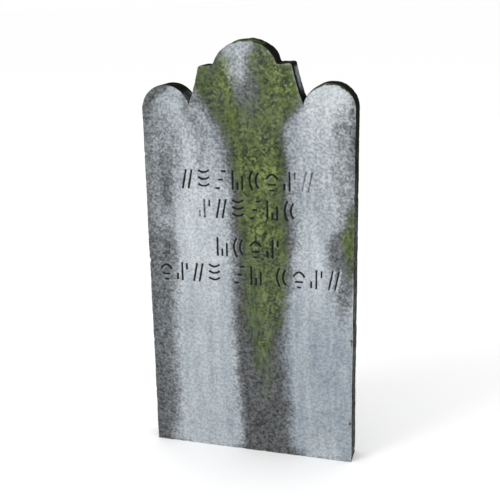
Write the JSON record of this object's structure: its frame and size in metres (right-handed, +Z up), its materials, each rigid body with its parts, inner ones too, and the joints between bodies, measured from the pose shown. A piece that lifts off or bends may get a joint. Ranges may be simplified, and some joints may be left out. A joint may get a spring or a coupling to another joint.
{
  "type": "headstone",
  "caption": "Upright weathered marble headstone slab with rounded side lobes and a raised crown, cut flat at the ground, with rows of shallow strokes on its face.",
  "frame": {"origin": "middle of the flat foot, where the slab meets the ground", "axes": "+Z up, +X along the front face to the right as seen from the front, +Y from the front face to the back"},
  "size_m": [0.406, 0.052, 0.813],
  "materials": {
    "marble": "weathered fine-grained marble, matt, with dark algae bands and green moss"
  },
  "bodies": {
    "root": {"headstone": "marble"}
  },
  "joints": []
}
